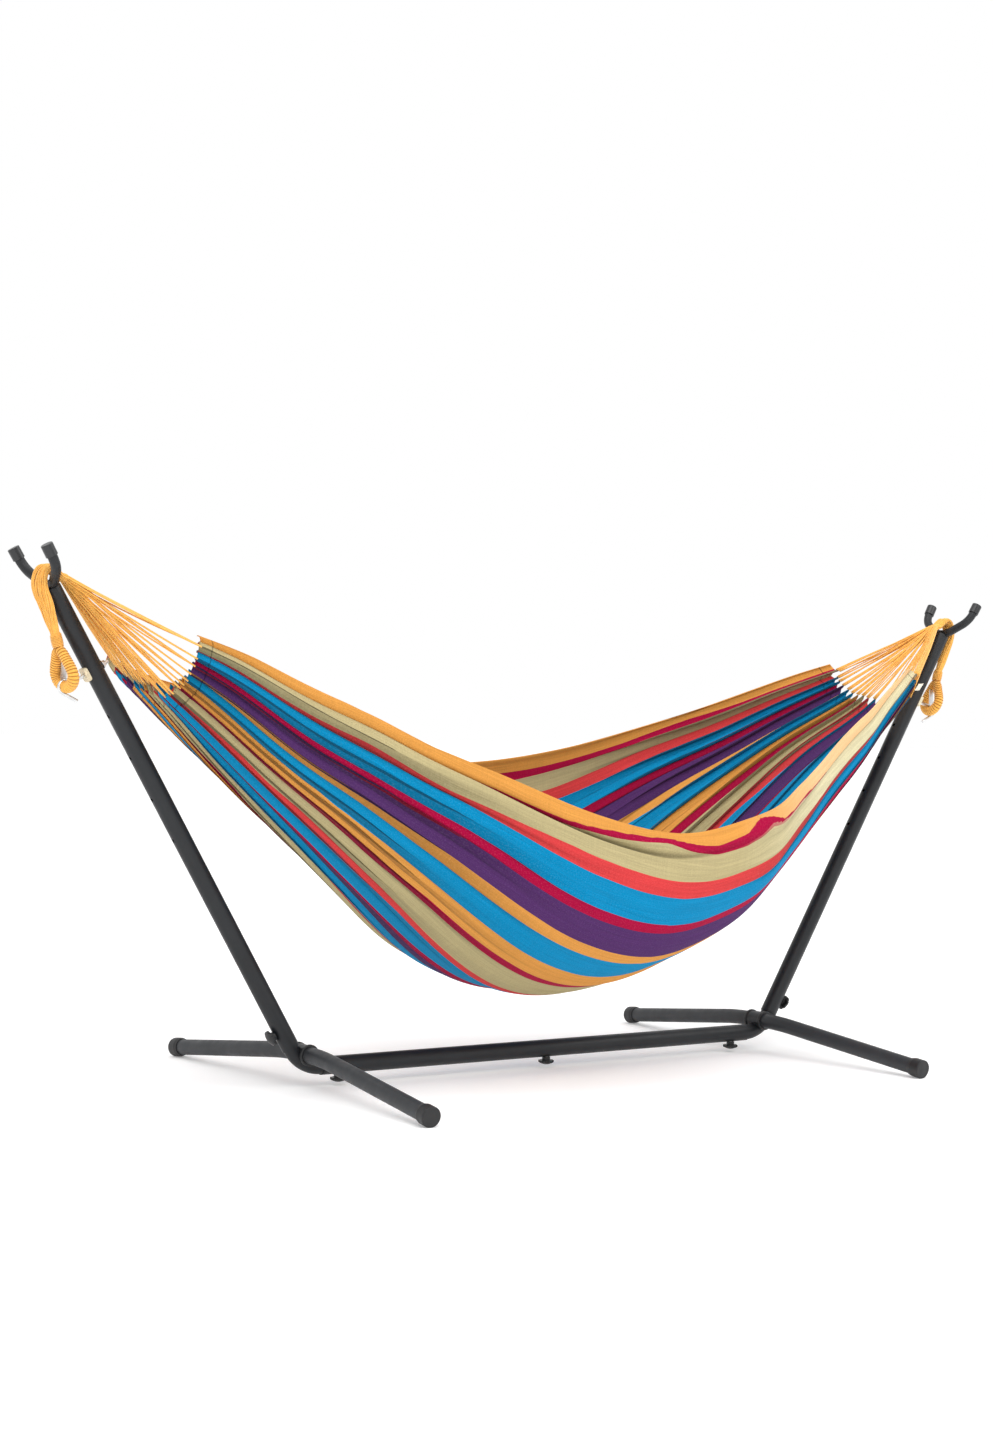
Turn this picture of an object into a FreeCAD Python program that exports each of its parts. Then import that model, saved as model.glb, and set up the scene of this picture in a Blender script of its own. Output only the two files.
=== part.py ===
import FreeCAD, Part
import math
import os

# Hammock on a knock-down steel stand, in millimetres.
# Frame: X along the stand, Y across it, Z up. The origin is on the floor, under the middle.
# The stand's right (+X) end and its rope are modelled once and mirrored for the left end.
# The bed hangs a little differently at its two ends, so its sections are listed end to end.

V = FreeCAD.Vector

# ---- steel tubes ----
TUBE_OD = 42.0               # base tube and uprights
TUBE_WALL = 1.5
ELBOW_OD = 38.0              # bent piece that plugs into the base tube and the upright
ELBOW_WALL = 1.8
LEG_OD = 38.0
LEG_WALL = 1.5
FORK_OD = 22.0               # bent rope rest welded across the top of each upright
FORK_WALL = 2.0

# ---- side view of the stand ----
BASE_Z = 47.4                # height of the base tube's axis
CORNER_X = 696.8             # where the base axis and the upright axis would cross
UPRIGHT_TILT = 31.07         # degrees from vertical, leaning outward
BEND_R = 92.0                # elbow, on its centreline
UPRIGHT_START = 55.0         # distances along the upright's axis, from that corner
FORK_BOTTOM = 1240.0
FORK_TIP = 1339.0
HOOK_HOLE = 1040.0
HOLE_PITCH = 105.0
HOLE_COUNT = 5
HOLE_D = 9.0
PLUG_LENGTH = 80.0           # how far an elbow goes into the tube it plugs into

# ---- base tube's middle joint ----
SEAM_X = 45.0                # end of the left half
SPIGOT_LENGTH = 120.0
SPIGOT_OD = 38.6

# ---- fork ----
FORK_HALF_WIDTH = 85.0
FORK_SHOULDER = (82.0, 48.0)     # across, and up from the bottom: where each arm turns up
FORK_DIP = 6.0                   # how far the corner of the V lies below the upright's end
FORK_BOTTOM_R = 60.0
FORK_SHOULDER_R = 50.0
FORK_CAP_OD = 27.0
FORK_CAP_LENGTH = 27.0
FORK_CAP_END = 3.0               # solid end of each cap
FORK_CAP_FILLET = 2.0
UPRIGHT_PLATE = 2.0              # closes the upright under the fork

# ---- legs ----
LEG_AXIS = (690.0, 77.7)     # X and Z of the cross socket that both legs plug into
LEG_BEND_Y = 80.0
LEG_BEND_R = 800.0
LEG_START_Y = 5.0
FOOT = (717.8, 571.0, 22.0)  # centre of a foot cap's end face
SOCKET_OD = 44.0
SOCKET_ID = 38.6
SOCKET_HALF_LENGTH = 21.0
COLLAR_OD = 49.0
COLLAR_LENGTH = 9.0
FOOT_CAP_OD = 46.0
FOOT_CAP_MOUTH_OD = 41.5
FOOT_CAP_LENGTH = 36.0
FOOT_CAP_FLARE = 10.0
FOOT_CAP_END = 4.0           # solid end of each foot cap
FOOT_CAP_FILLET = 3.0
COLLAR_FILLET = 2.5

# ---- clamping knobs ----
STUD_D = 8.0
NUT_BORE = 8.1
NUT_FLATS = 13.0
NUT_HEIGHT = 6.5
NUT_FACE = 15.9              # outer face of the nut, from the tube's axis
KNOB_D = 38.0
KNOB_LOBES = 8
KNOB_HEAD = 10.5
KNOB_NECK_D = 20.0
KNOB_NECK = 8.0
KNOB_SCALLOP_D = 9.0
KNOB_DOME_R = 34.0
STUD_IN_KNOB = 6.5           # how far the stud is moulded into the head
STUD_END = 5.0               # inner end of the stud, from the tube's axis
KNOB_GAP = 0.5               # between the neck and the tube it clamps
KNOB_FROM_CORNER = 102.0     # along the upright
KNOB_X = 596.0               # along the base

# ---- hook and its fasteners ----
ROD_D = 8.0
ROD_INNER_END = 38.0         # from the upright's axis, towards the hammock
ROD_OUTER_BEND = 34.0        # where the rod levels out, on the outer side
HOOK_R = 14.3                # bend around the rope ring
ROD_BEND_R = 20.0            # gentle bend just outside the saddle
HOOK_TAIL = 38.0
HOOK_TAIL_ANGLE = 26.0       # degrees below horizontal, pointing inward
KEEPER = (13.0, 3.0, 46.0)   # flat tongue that stands in the ring: X, Y, Z
KEEPER_FILLET = 3.0
KEEPER_OFFSET = 2.0          # outward, from the end of the shank
SADDLE = (31.0, 24.0, 6.0)   # along the upright, across it, thickness
SADDLE_FILLET = 5.0
WASHER_D = 20.0
WASHER_T = 2.0

# ---- hanging rope at each end ----
BUNDLE_D = 22.0
# X and Z of the bundle's centreline: in from the hammock, over the fork, down to the whipping
BUNDLE_PATH = ((1318.0, 1131.0), (1348.0, 1157.0), (1374.0, 1116.0), (1358.5, 1075.5), (1329.0, 1007.0))
BUNDLE_BEND_R = (20.0, 22.0, 60.0)
NECK_LENGTH = 22.0
NECK_D = 27.0
RING_ROPE_D = 20.0
RING_WIDTH = 62.0            # between strand centres
RING_BOTTOM = (1299.0, 899.0)
RING_TOP_R = 12.0

# ---- hammock bed ----
# x, front half-width, front edge z, back half-width, back edge z, bottom y, bottom z,
# then the degrees of arc that the front and back halves follow
BED_SECTIONS = (
    (-1100.0, 190.0, 1012.0, 190.0, 978.0, -64.0, 885.0, 100.0, 69.0),
    (-850.0, 255.0, 915.0, 291.0, 911.0, 16.0, 685.0, 100.0, 86.0),
    (-580.0, 357.0, 785.0, 325.0, 870.0, 51.0, 463.0, 100.0, 97.0),
    (-300.0, 490.0, 661.0, 445.0, 766.0, 33.0, 247.0, 100.0, 103.0),
    (0.0, 510.0, 602.0, 440.0, 735.0, 12.0, 190.0, 100.0, 103.0),
    (300.0, 490.0, 661.0, 400.0, 770.0, -8.0, 300.0, 100.0, 103.0),
    (580.0, 357.0, 785.0, 336.0, 848.0, -70.0, 508.0, 101.0, 103.0),
    (850.0, 255.0, 915.0, 258.0, 935.0, -72.0, 740.0, 101.0, 103.0),
    (1100.0, 152.0, 1008.0, 176.0, 1022.0, 8.0, 913.0, 100.0, 97.0),
)
BED_SHIFT_Y = -2.65              # puts the bed's weight under its swing axis
BED_THICKNESS = 4.0
SECTION_POINTS = 9               # from the bottom to each edge
STRING_COUNT = 20
STRING_D = 3.0
STRING_FAN = (32.0, 2.4)         # spread at the fork: across, and up or down
STRING_INSET = 0.97              # keeps the outer strings off the bed's edges
LABEL = (16.0, 1.0, 26.0)        # out from the end hem, thickness, along the hem
LABEL_AT = 3                     # the point of the end section that it is sewn at
LABEL_LAP = 1.0                  # of its length lies on the cloth
LABEL_CLEAR = 1.0                # from the cloth's outer face, for the slope of the hem

TILT = math.radians(UPRIGHT_TILT)
ALONG = V(math.sin(TILT), 0, math.cos(TILT))      # up the right upright
OUTWARD = V(math.cos(TILT), 0, -math.sin(TILT))   # square to it, away from the hammock
ACROSS = V(0, 1, 0)
UP = V(0, 0, 1)
CORNER = V(CORNER_X, 0, BASE_Z)
BEND_TANGENT = BEND_R * math.tan(math.radians(90 - UPRIGHT_TILT) / 2)
NODES = {}


# ---------------------------------------------------------------- helpers

def on_upright(along, out=0.0, across=0.0):
    """A point near the right upright, from its own axis."""
    return CORNER + ALONG * along + OUTWARD * out + ACROSS * across


def cylinder(start, end, diameter):
    axis = end - start
    return Part.makeCylinder(diameter / 2, axis.Length, start, axis)


def ring(start, end, outer_d, inner_d):
    return cylinder(start, end, outer_d).cut(cylinder(start, end, inner_d))


def rounded_path(points, radii):
    """Straight runs through the points, joined by tangent arcs at the inner points."""
    edges = []
    run_start = points[0]
    for before, corner, after, radius in zip(points, points[1:], points[2:], radii):
        into = (corner - before).normalize()
        away = (after - corner).normalize()
        half_turn = into.getAngle(away) / 2
        tangent = radius * math.tan(half_turn)
        inward = (away - into).normalize()
        arc_start = corner - into * tangent
        arc_middle = corner + inward * (radius / math.cos(half_turn) - radius)
        arc_end = corner + away * tangent
        edges.append(Part.LineSegment(run_start, arc_start).toShape())
        edges.append(Part.Arc(arc_start, arc_middle, arc_end).toShape())
        run_start = arc_end
    edges.append(Part.LineSegment(run_start, points[-1]).toShape())
    return Part.Wire(edges)


def rod_along(path, diameter):
    """A round rod that follows a wire."""
    first = path.OrderedEdges[0]
    start = first.valueAt(first.FirstParameter)
    direction = first.tangentAt(first.FirstParameter)
    profile = Part.Wire([Part.makeCircle(diameter / 2, start, direction)])
    return path.makePipeShell([profile], True, False)


def tube_along(path, outer_d, wall):
    return rod_along(path, outer_d).cut(rod_along(path, outer_d - 2 * wall))


def hexagon_nut(face, direction, height):
    """A nut whose outer face is at a point, and which extends back along direction."""
    sides = 6
    corner_r = NUT_FLATS / 2 / math.cos(math.pi / sides)
    turn = FreeCAD.Rotation(UP, direction)
    rim = []
    for index in range(sides + 1):
        angle = 2 * math.pi * index / sides
        rim.append(face + turn.multVec(V(corner_r * math.cos(angle), corner_r * math.sin(angle), 0)))
    body = Part.Face(Part.makePolygon(rim)).extrude(direction * height)
    return body.cut(cylinder(face, face + direction * height, NUT_BORE))


def fillet_where(shape, radius, wanted):
    return shape.makeFillet(radius, [edge for edge in shape.Edges if wanted(edge)])


def fillet_end(shape, centre, radius):
    """Round the edge of a cylinder's end face that is centred on a point."""
    def at_end(edge):
        return edge.Curve.TypeId == "Part::GeomCircle" and (edge.Curve.Center - centre).Length < 0.01
    return fillet_where(shape, radius, at_end)


def is_circle_of(diameter):
    def test(edge):
        return edge.Curve.TypeId == "Part::GeomCircle" and abs(edge.Curve.Radius - diameter / 2) < 0.01
    return test


def mirrored(shape):
    return shape.mirror(V(0, 0, 0), V(1, 0, 0))


def both_ends(name, shape):
    NODES["right_" + name] = shape
    NODES["left_" + name] = mirrored(shape)


# ---------------------------------------------------------------- stand

def fork_corners():
    """Front tip, front shoulder, bottom, rear shoulder and rear tip of the fork's centreline."""
    shoulder_across, shoulder_up = FORK_SHOULDER
    shoulder = FORK_BOTTOM + shoulder_up
    return [
        on_upright(FORK_TIP, 0, -FORK_HALF_WIDTH),
        on_upright(shoulder, 0, -shoulder_across),
        on_upright(FORK_BOTTOM - FORK_DIP),
        on_upright(shoulder, 0, shoulder_across),
        on_upright(FORK_TIP, 0, FORK_HALF_WIDTH),
    ]


def make_fork():
    """The bent rope rest and its two end caps. Returns the fork as a solid rod, to cope the upright."""
    corners = fork_corners()
    arms = {}
    for side, tip, shoulder in (("front", corners[0], corners[1]), ("rear", corners[4], corners[3])):
        direction = (tip - shoulder).normalize()
        mouth = tip - direction * FORK_CAP_LENGTH
        arms[side] = tip - direction * FORK_CAP_END
        cap = fillet_end(cylinder(mouth, tip, FORK_CAP_OD), tip, FORK_CAP_FILLET)
        both_ends(side + "_fork_cap", cap.cut(cylinder(mouth, arms[side], FORK_OD)))
    path = rounded_path(
        [arms["front"]] + corners[1:4] + [arms["rear"]], [FORK_SHOULDER_R, FORK_BOTTOM_R, FORK_SHOULDER_R]
    )
    both_ends("fork", tube_along(path, FORK_OD, FORK_WALL))
    return rod_along(path, FORK_OD)


def make_upright(fork_solid):
    start = on_upright(UPRIGHT_START)
    end = on_upright(FORK_BOTTOM)
    tube = ring(start, end, TUBE_OD, TUBE_OD - 2 * TUBE_WALL)
    tube = tube.fuse(cylinder(on_upright(FORK_BOTTOM - UPRIGHT_PLATE), end, TUBE_OD - TUBE_WALL))
    tube = tube.cut(fork_solid)
    for index in range(HOLE_COUNT):
        along = HOOK_HOLE - index * HOLE_PITCH
        tube = tube.cut(cylinder(on_upright(along, -TUBE_OD), on_upright(along, TUBE_OD), HOLE_D))
    knob_hole = cylinder(on_upright(KNOB_FROM_CORNER), on_upright(KNOB_FROM_CORNER, TUBE_OD), HOLE_D)
    both_ends("upright", tube.cut(knob_hole).removeSplitter())


def make_elbow():
    plug_end_x = CORNER_X - BEND_TANGENT - PLUG_LENGTH
    path = rounded_path(
        [V(plug_end_x, 0, BASE_Z), CORNER, on_upright(BEND_TANGENT + PLUG_LENGTH)], [BEND_R]
    )
    socket_x, socket_z = LEG_AXIS
    mouth = V(socket_x, SOCKET_HALF_LENGTH, socket_z)
    other_mouth = V(socket_x, -SOCKET_HALF_LENGTH, socket_z)
    elbow = tube_along(path, ELBOW_OD, ELBOW_WALL).fuse(cylinder(other_mouth, mouth, SOCKET_OD))
    elbow = elbow.cut(cylinder(other_mouth, mouth, SOCKET_ID))
    knob_axis = V(KNOB_X, 0, BASE_Z)
    elbow = elbow.cut(cylinder(knob_axis, knob_axis - UP * TUBE_OD, HOLE_D))
    elbow = elbow.cut(
        cylinder(on_upright(KNOB_FROM_CORNER), on_upright(KNOB_FROM_CORNER, TUBE_OD), HOLE_D)
    )
    both_ends("elbow", elbow.removeSplitter())


def base_tube(x_start, x_end, knob_xs):
    inner_d = TUBE_OD - 2 * TUBE_WALL
    tube = ring(V(x_start, 0, BASE_Z), V(x_end, 0, BASE_Z), TUBE_OD, inner_d)
    for knob_x in knob_xs:
        knob_axis = V(knob_x, 0, BASE_Z)
        tube = tube.cut(cylinder(knob_axis, knob_axis - UP * TUBE_OD, HOLE_D))
    return tube


def make_base():
    end_x = CORNER_X - BEND_TANGENT
    shoulder = 4.0
    spigot_bore = SPIGOT_OD - 2 * TUBE_WALL
    NODES["base_tube_left"] = base_tube(-end_x, SEAM_X, (-KNOB_X, 0.0))
    right = base_tube(SEAM_X, end_x, (KNOB_X,))
    spigot = ring(
        V(SEAM_X - SPIGOT_LENGTH, 0, BASE_Z), V(SEAM_X + shoulder, 0, BASE_Z), SPIGOT_OD, spigot_bore
    )
    step = ring(V(SEAM_X, 0, BASE_Z), V(SEAM_X + shoulder, 0, BASE_Z), TUBE_OD, spigot_bore)
    right = right.fuse(spigot).fuse(step)
    middle = V(0, 0, BASE_Z)
    right = right.cut(cylinder(middle, middle - UP * TUBE_OD, HOLE_D))
    NODES["base_tube_right"] = right.removeSplitter()


def make_legs():
    leg_x, leg_z = LEG_AXIS
    mouth_y = SOCKET_HALF_LENGTH + COLLAR_LENGTH
    for side, sign in (("front", -1), ("rear", 1)):
        start = V(leg_x, sign * LEG_START_Y, leg_z)
        bend = V(leg_x, sign * LEG_BEND_Y, leg_z)
        foot = V(FOOT[0], sign * FOOT[1], FOOT[2])
        slope = (foot - bend).normalize()
        tube_end = foot - slope * FOOT_CAP_END
        path = rounded_path([start, bend, tube_end], [LEG_BEND_R])
        both_ends(side + "_leg", tube_along(path, LEG_OD, LEG_WALL))

        collar = ring(
            V(leg_x, sign * SOCKET_HALF_LENGTH, leg_z), V(leg_x, sign * mouth_y, leg_z), COLLAR_OD, LEG_OD
        )
        both_ends(side + "_leg_collar", fillet_where(collar, COLLAR_FILLET, is_circle_of(COLLAR_OD)))

        cap_mouth = foot - slope * FOOT_CAP_LENGTH
        flare_end = cap_mouth + slope * FOOT_CAP_FLARE
        cap = Part.makeCone(FOOT_CAP_MOUTH_OD / 2, FOOT_CAP_OD / 2, FOOT_CAP_FLARE, cap_mouth, slope)
        barrel = fillet_end(cylinder(flare_end, foot, FOOT_CAP_OD), foot, FOOT_CAP_FILLET)
        cap = cap.fuse(barrel).cut(cylinder(cap_mouth, tube_end, LEG_OD))
        reach = 2 * FOOT_CAP_OD
        below_floor = Part.makeBox(2 * reach, 2 * reach, reach, V(foot.x - reach, foot.y - reach, -reach))
        both_ends(side + "_foot_cap", cap.cut(below_floor).removeSplitter())


# ---------------------------------------------------------------- knobs

def knob_pieces(axis_point, direction):
    """A moulded knob head and its steel stud, turning on a line square to a tube's axis."""
    neck_start = axis_point + direction * (TUBE_OD / 2 + KNOB_GAP)
    head_start = neck_start + direction * KNOB_NECK
    head_end = head_start + direction * KNOB_HEAD
    head = cylinder(head_start, head_end, KNOB_D)
    head = head.fuse(cylinder(neck_start, head_start, KNOB_NECK_D)).removeSplitter()
    turn = FreeCAD.Rotation(UP, direction)
    for index in range(KNOB_LOBES):
        angle = 2 * math.pi * (index + 0.5) / KNOB_LOBES
        offset = turn.multVec(V(math.cos(angle), math.sin(angle), 0)) * (KNOB_D / 2 + KNOB_SCALLOP_D / 4)
        head = head.cut(cylinder(head_start + offset, head_end + offset, KNOB_SCALLOP_D))
    dome = Part.makeSphere(KNOB_DOME_R, head_end - direction * KNOB_DOME_R)
    keep = dome.common(cylinder(head_start, head_end + direction, KNOB_D))
    head = head.common(cylinder(neck_start, head_start, KNOB_NECK_D).fuse(keep))
    stud = cylinder(axis_point + direction * STUD_END, head_start + direction * STUD_IN_KNOB, STUD_D)
    return head.cut(stud), stud


def make_knobs():
    places = {
        "right_upright": (on_upright(KNOB_FROM_CORNER), OUTWARD),
        "right_base": (V(KNOB_X, 0, BASE_Z), -UP),
        "middle_base": (V(0, 0, BASE_Z), -UP),
    }
    nuts = []
    for name, (point, direction) in places.items():
        head, stud = knob_pieces(point, direction)
        nut = hexagon_nut(point + direction * NUT_FACE, -direction, NUT_HEIGHT)
        NODES[name + "_knob"] = head
        NODES[name + "_stud"] = stud
        nuts.append(nut)
        if name.startswith("right_"):
            left = name.replace("right_", "left_")
            NODES[left + "_knob"] = mirrored(head)
            NODES[left + "_stud"] = mirrored(stud)
            nuts.append(mirrored(nut))
    NODES["weld_nuts"] = Part.makeCompound(nuts)


# ---------------------------------------------------------------- hooks

def hook_path():
    """A threaded rod through the upright, bent down and back around the rope ring."""
    centre = V(RING_BOTTOM[0], 0, RING_BOTTOM[1])
    bend = on_upright(HOOK_HOLE, ROD_OUTER_BEND)
    reach = centre - bend
    bearing = math.atan2(reach.z, reach.x) + math.asin(HOOK_R / reach.Length)
    shank = V(math.cos(bearing), 0, math.sin(bearing))
    arc_start = centre + V(-shank.z, 0, shank.x) * HOOK_R
    tail_angle = math.radians(HOOK_TAIL_ANGLE)
    tail = V(-math.cos(tail_angle), 0, -math.sin(tail_angle))
    arc_end = centre + V(-tail.z, 0, tail.x) * HOOK_R
    rod = rounded_path([on_upright(HOOK_HOLE, -ROD_INNER_END), bend, arc_start], [ROD_BEND_R])
    arc = Part.Arc(arc_start, centre + V(HOOK_R, 0, 0), arc_end).toShape()
    end = Part.LineSegment(arc_end, arc_end + tail * HOOK_TAIL).toShape()
    return Part.Wire(rod.Edges + [arc, end]), arc_start


def make_hook():
    path, arc_start = hook_path()
    width, thickness, height = KEEPER
    keeper = Part.makeBox(
        width, thickness, height, V(arc_start.x - width / 2 + KEEPER_OFFSET, -thickness / 2, arc_start.z)
    )
    keeper = fillet_where(keeper, KEEPER_FILLET, lambda edge: abs(edge.tangentAt(0).y) > 0.9)
    both_ends("hook", rod_along(path, ROD_D).fuse(keeper).removeSplitter())

    length, width, thickness = SADDLE
    saddle = Part.makeBox(
        TUBE_OD / 2 + thickness, width, length, V(0, -width / 2, -length / 2)
    )
    saddle = fillet_where(saddle, SADDLE_FILLET, lambda edge: abs(edge.tangentAt(0).x) > 0.9)
    saddle = saddle.cut(Part.makeCylinder(TUBE_OD / 2, length, V(0, 0, -length / 2), UP))
    saddle.Placement = FreeCAD.Placement(on_upright(HOOK_HOLE), FreeCAD.Rotation(ACROSS, UPRIGHT_TILT))
    rod_hole = cylinder(on_upright(HOOK_HOLE), on_upright(HOOK_HOLE, TUBE_OD), NUT_BORE)
    both_ends("hook_saddle", saddle.cut(rod_hole))

    face = TUBE_OD / 2
    washer = ring(
        on_upright(HOOK_HOLE, -face - WASHER_T), on_upright(HOOK_HOLE, -face), WASHER_D, NUT_BORE
    )
    both_ends("hook_washer", washer)
    nut = hexagon_nut(on_upright(HOOK_HOLE, -face - WASHER_T), -OUTWARD, NUT_HEIGHT)
    both_ends("hook_nut", nut)


# ---------------------------------------------------------------- rope at the ends

def make_rope():
    points = [V(x, 0, z) for x, z in BUNDLE_PATH]
    neck_top = points[-1]
    ring_bottom = V(RING_BOTTOM[0], 0, RING_BOTTOM[1])
    hang = (ring_bottom - neck_top).normalize()
    neck_end = neck_top + hang * NECK_LENGTH
    whipping = cylinder(neck_top, neck_end, NECK_D)
    both_ends("rope_whipping", whipping)
    bundle = rod_along(rounded_path(points, BUNDLE_BEND_R), BUNDLE_D)
    both_ends("rope_bundle", bundle.cut(whipping))

    top = neck_end + hang * (RING_ROPE_D / 2)
    bottom_r = RING_WIDTH / 2
    low_centre = ring_bottom - hang * bottom_r
    high_centre = top + hang * RING_TOP_R
    spread = (low_centre - high_centre).Length
    lean = math.asin((bottom_r - RING_TOP_R) / spread)
    side_out = ACROSS * math.cos(lean) - hang * math.sin(lean)
    side_back = ACROSS * -math.cos(lean) - hang * math.sin(lean)
    corners = [
        (high_centre + side_out * RING_TOP_R, low_centre + side_out * bottom_r),
        (low_centre + side_back * bottom_r, high_centre + side_back * RING_TOP_R),
    ]
    edges = [
        Part.LineSegment(*corners[0]).toShape(),
        Part.Arc(corners[0][1], ring_bottom, corners[1][0]).toShape(),
        Part.LineSegment(*corners[1]).toShape(),
        Part.Arc(corners[1][1], top, corners[0][0]).toShape(),
    ]
    both_ends("rope_ring", rod_along(Part.Wire(edges), RING_ROPE_D))


# ---------------------------------------------------------------- hammock

def section_point(row, part, inset):
    """A point of a cross-section: part runs from -1 at the front edge to 1 at the back edge."""
    x, front_half, front_z, back_half, back_z, bottom_y, bottom_z, front_sweep, back_sweep = row
    if part < 0:
        reach, edge_z, sweep = front_half + bottom_y, front_z, math.radians(front_sweep)
    else:
        reach, edge_z, sweep = back_half - bottom_y, back_z, math.radians(back_sweep)
    angle = sweep * part
    across = reach * math.sin(angle) / math.sin(sweep) - inset * math.sin(angle)
    rise = (edge_z - bottom_z) * (1 - math.cos(angle)) / (1 - math.cos(sweep)) + inset * math.cos(angle)
    return V(x, bottom_y + across + BED_SHIFT_Y, bottom_z + rise)


def bed_section(row, inset):
    steps = range(-SECTION_POINTS, SECTION_POINTS + 1)
    return [section_point(row, index / SECTION_POINTS, inset) for index in steps]


def section_wire(row):
    outer = bed_section(row, 0.0)
    inner = bed_section(row, BED_THICKNESS)
    outer_curve = Part.BSplineCurve()
    outer_curve.interpolate(outer)
    inner_curve = Part.BSplineCurve()
    inner_curve.interpolate(inner)
    return Part.Wire([
        outer_curve.toShape(),
        Part.LineSegment(outer[-1], inner[-1]).toShape(),
        inner_curve.toShape(),
        Part.LineSegment(inner[0], outer[0]).toShape(),
    ])


def make_bed():
    NODES["bed_cloth"] = Part.makeLoft([section_wire(row) for row in BED_SECTIONS], True, False)


def make_strings():
    fan_across, fan_up = STRING_FAN
    inner_x, inner_z = BUNDLE_PATH[0]
    for end, row in (("left", BED_SECTIONS[0]), ("right", BED_SECTIONS[-1])):
        strings = []
        for index in range(STRING_COUNT):
            part = 2 * index / (STRING_COUNT - 1) - 1
            cloth = section_point(row, part * STRING_INSET, BED_THICKNESS / 2)
            lift = fan_up if index % 2 else -fan_up
            fork_x = math.copysign(inner_x - BUNDLE_D / 2, row[0])
            fork = V(fork_x, part * fan_across / 2, inner_z + lift)
            along = (fork - cloth).normalize()
            # the string's flat end just touches the hem
            clear = STRING_D / 2 * math.sqrt(1 - along.x ** 2) / abs(along.x)
            strings.append(cylinder(cloth + along * clear, fork, STRING_D))
        NODES[end + "_end_strings"] = Part.makeCompound(strings)


def make_label():
    """A tab sewn flat on the outside of the right end hem, a little below the front corner."""
    hem = bed_section(BED_SECTIONS[-1], 0.0)
    above, place, below = hem[LABEL_AT - 1:LABEL_AT + 2]
    length, thickness, height = LABEL
    label = Part.makeBox(length, thickness, height, V(-LABEL_LAP, -LABEL_CLEAR - thickness, -height / 2))
    label.Placement = FreeCAD.Placement(place, FreeCAD.Rotation(UP, above - below))
    NODES["care_label"] = label


def main():
    fork_solid = make_fork()
    make_upright(fork_solid)
    make_elbow()
    make_base()
    make_legs()
    make_knobs()
    make_hook()
    make_rope()
    make_bed()
    make_strings()
    make_label()
    os.makedirs("parts", exist_ok=True)
    for name, shape in NODES.items():
        shape.exportStep(os.path.join("parts", name + ".step"))
        print(name, "valid" if shape.isValid() else "NOT VALID", len(shape.Solids), round(shape.Volume))


main()
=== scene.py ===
"""Looks of the hammock on its stand: striped cloth, cords, rope, materials, light and camera."""
import math

import bpy
import numpy as np
from mathutils import Matrix, Vector


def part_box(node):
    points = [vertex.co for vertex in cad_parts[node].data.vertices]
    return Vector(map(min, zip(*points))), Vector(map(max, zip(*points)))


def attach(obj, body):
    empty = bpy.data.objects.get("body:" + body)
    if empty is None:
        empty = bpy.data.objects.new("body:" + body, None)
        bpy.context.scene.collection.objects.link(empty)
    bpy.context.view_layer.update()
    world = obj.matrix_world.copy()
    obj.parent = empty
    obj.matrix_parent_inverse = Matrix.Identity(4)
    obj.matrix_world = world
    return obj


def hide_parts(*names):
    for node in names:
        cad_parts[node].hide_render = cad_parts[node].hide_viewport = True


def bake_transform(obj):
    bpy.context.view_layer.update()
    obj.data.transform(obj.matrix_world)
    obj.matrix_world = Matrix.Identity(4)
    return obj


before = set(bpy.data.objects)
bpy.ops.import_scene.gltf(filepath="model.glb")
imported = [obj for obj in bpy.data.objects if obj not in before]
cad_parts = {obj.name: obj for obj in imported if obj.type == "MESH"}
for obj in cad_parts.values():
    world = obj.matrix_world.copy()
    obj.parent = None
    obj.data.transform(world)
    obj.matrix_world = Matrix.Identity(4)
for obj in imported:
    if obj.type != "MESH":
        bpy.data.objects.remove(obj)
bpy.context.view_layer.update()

# ------------------------------------------------------------------ camera
FOCAL_LENGTH, SENSOR_WIDTH = 58.28, 36      # mm
CAMERA_PLACE = (-3.4176, -4.5841, 0.8565)
CAMERA_YAW, CAMERA_PITCH, CAMERA_ROLL = 0.6161, -0.0014, 0.0225     # radians


def make_camera():
    """The camera, at its place and turned by its yaw, pitch and roll."""
    yaw, pitch, roll = CAMERA_YAW, CAMERA_PITCH, CAMERA_ROLL
    ahead = Vector((math.sin(yaw) * math.cos(pitch), math.cos(yaw) * math.cos(pitch),
                    math.sin(pitch)))
    level = Vector((math.cos(yaw), -math.sin(yaw), 0))
    above = level.cross(ahead)
    right = math.cos(roll) * level + math.sin(roll) * above
    up = -math.sin(roll) * level + math.cos(roll) * above
    data = bpy.data.cameras.new("camera")
    data.lens = FOCAL_LENGTH
    data.sensor_width = SENSOR_WIDTH
    data.clip_end = 200
    camera = bpy.data.objects.new("camera", data)
    camera.matrix_world = Matrix((
        (right.x, up.x, -ahead.x, CAMERA_PLACE[0]),
        (right.y, up.y, -ahead.y, CAMERA_PLACE[1]),
        (right.z, up.z, -ahead.z, CAMERA_PLACE[2]),
        (0, 0, 0, 1)))
    bpy.context.scene.collection.objects.link(camera)
    bpy.context.scene.camera = camera


# ------------------------------------------------------------------ materials
def srgb(red, green, blue):
    """Linear colour from 0-255 display values."""
    linear = [((c / 255 + 0.055) / 1.055) ** 2.4 if c > 10 else c / 255 / 12.92
              for c in (red, green, blue)]
    return (*linear, 1.0)


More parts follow.
